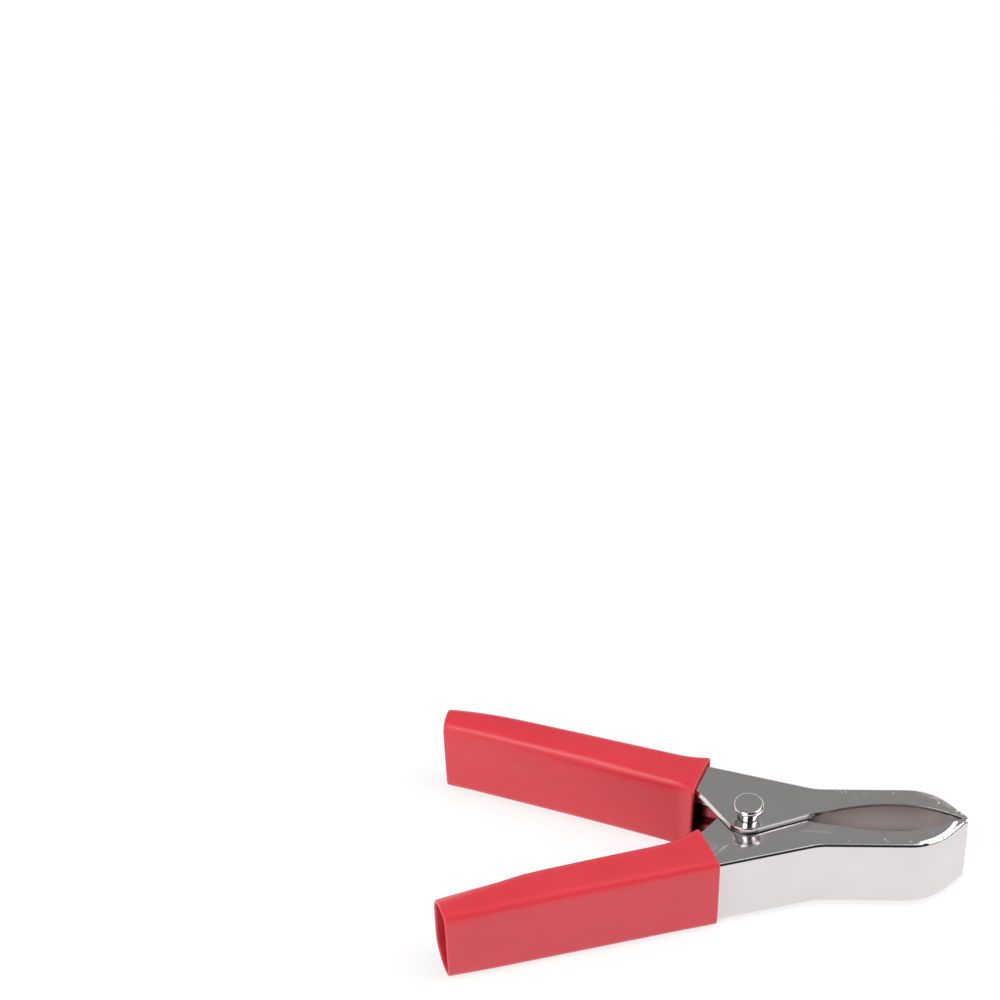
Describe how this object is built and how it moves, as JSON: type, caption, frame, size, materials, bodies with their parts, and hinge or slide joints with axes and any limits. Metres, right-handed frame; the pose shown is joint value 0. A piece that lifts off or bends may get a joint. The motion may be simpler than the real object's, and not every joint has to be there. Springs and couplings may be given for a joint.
{
  "type": "battery clamp",
  "caption": "Spring-loaded sheet-metal clamp with a toothed lens-shaped jaw, wire crimps at the handle ends and soft slip-on sleeves.",
  "frame": {"origin": "middle of the whole clamp's box in plan, at the level of the sleeves' underside", "axes": "+X towards the jaw tip; +Z along the rivet, up; the half with the ears outside at the rivet is at +Y"},
  "size_m": [0.0748, 0.042, 0.015],
  "materials": {
    "plated_sheet": "bright nickel-plated sheet steel",
    "plated_rivet": "bright nickel-plated steel",
    "plated_wire": "drawn spring steel, nickel-plated",
    "red_sleeve": "soft glossy PVC"
  },
  "bodies": {
    "rear_body": {"outer_jaw_half": "plated_sheet", "pivot_rivet": "plated_rivet", "torsion_spring": "plated_wire"},
    "front_body": {"inner_jaw_half": "plated_sheet"},
    "front_grip": {"front_sleeve": "red_sleeve"},
    "rear_grip": {"rear_sleeve": "red_sleeve"}
  },
  "joints": [
    {"name": "jaw_hinge", "type": "hinge", "parent": "rear_body", "child": "front_body", "pos_m": [0.00663, 0, 0.0066], "axis": [0, 0, -1], "range_deg": [0, 28], "stiffness_Nm_per_rad": 0.47, "springref_deg": -60.16, "deforming": ["torsion_spring"]},
    {"name": "front_sleeve_slide", "type": "slide", "parent": "front_body", "child": "front_grip", "axis": [-0.9632, -0.2689, 0], "range_m": [0, 0.05]},
    {"name": "rear_sleeve_slide", "type": "slide", "parent": "rear_body", "child": "rear_grip", "axis": [-0.9632, 0.2689, 0], "range_m": [0, 0.05]}
  ]
}
